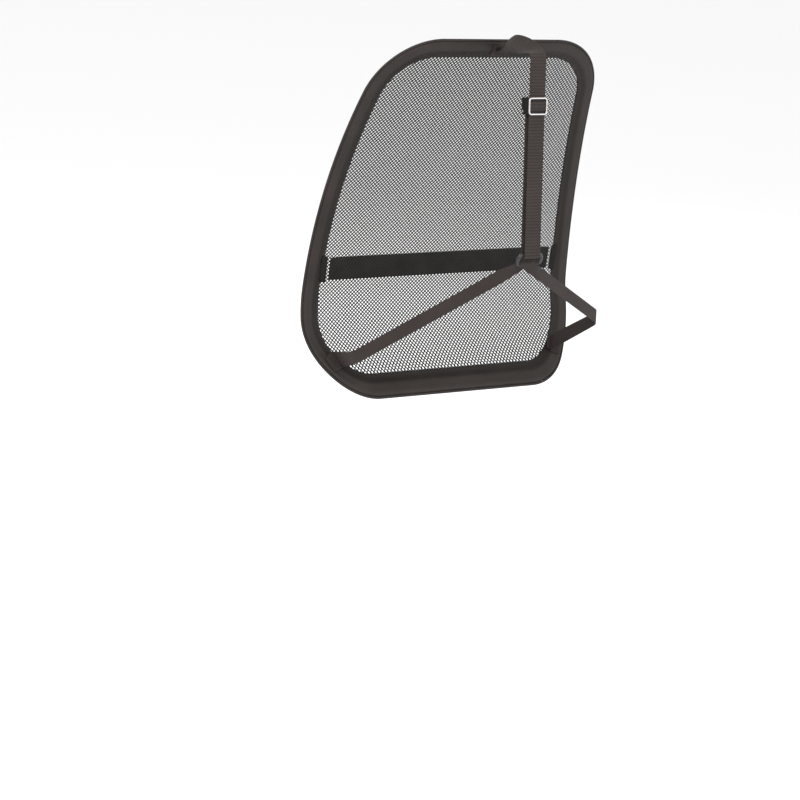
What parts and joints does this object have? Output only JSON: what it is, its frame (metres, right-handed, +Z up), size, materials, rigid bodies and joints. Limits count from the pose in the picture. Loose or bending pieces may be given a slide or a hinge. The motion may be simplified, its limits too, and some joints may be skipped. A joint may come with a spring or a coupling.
{
  "type": "mesh back support",
  "caption": "Bowed oval-cornered hoop with a black net panel, bound edge and lumbar band, hung on a chair back by webbing straps with a slide adjuster and a ring.",
  "frame": {"origin": "on the plane of the chair back that the hoop rests against, midway up the hoop and centred across it", "axes": "+Z up, -Y towards the sitter, +Y towards the straps behind the chair back, +X to the sitter's left"},
  "size_m": [0.452, 0.2342, 0.5242],
  "materials": {
    "binding_fabric": "satin woven",
    "net": "open net",
    "band_elastic": "woven elastic",
    "webbing": "ribbed webbing",
    "side_webbing": "smooth webbing",
    "spring_steel": "drawn",
    "ferrule_metal": "satin",
    "slide_silver": "satin",
    "slide_black": "matte",
    "pin_steel": "bright",
    "ring_metal": "black, semi-gloss"
  },
  "bodies": {
    "frame": {"hoop_rod": "spring_steel", "hoop_ferrule": "ferrule_metal", "edge_binding": "binding_fabric", "edge_piping": "binding_fabric", "mesh_panel": "net", "lumbar_band": "band_elastic", "lumbar_band_tab_left": "band_elastic", "lumbar_band_tab_right": "band_elastic", "top_strap": "webbing", "top_strap_anchor": "webbing", "strap_front_layer": "webbing", "strap_ring_fold": "webbing", "strap_return_layer": "webbing", "left_side_strap": "side_webbing", "right_side_strap": "side_webbing", "left_strap_anchor": "side_webbing", "right_strap_anchor": "side_webbing"},
    "slide": {"slide_frame": "slide_silver", "slide_body": "slide_black", "slide_bar": "slide_black", "slide_pin": "pin_steel"},
    "ring": {"strap_ring": "ring_metal", "side_strap_fold": "side_webbing"}
  },
  "joints": [
    {"name": "slide_travel", "type": "slide", "parent": "frame", "child": "slide", "axis": [0, -0.1719, 0.9851], "range_m": [-0.15, 0.035]},
    {"name": "ring_tilt", "type": "hinge", "parent": "frame", "child": "ring", "pos_m": [0, 0.128, -0.01], "axis": [1, 0, 0], "range_deg": [-4, 4], "stiffness_Nm_per_rad": 0.1}
  ]
}
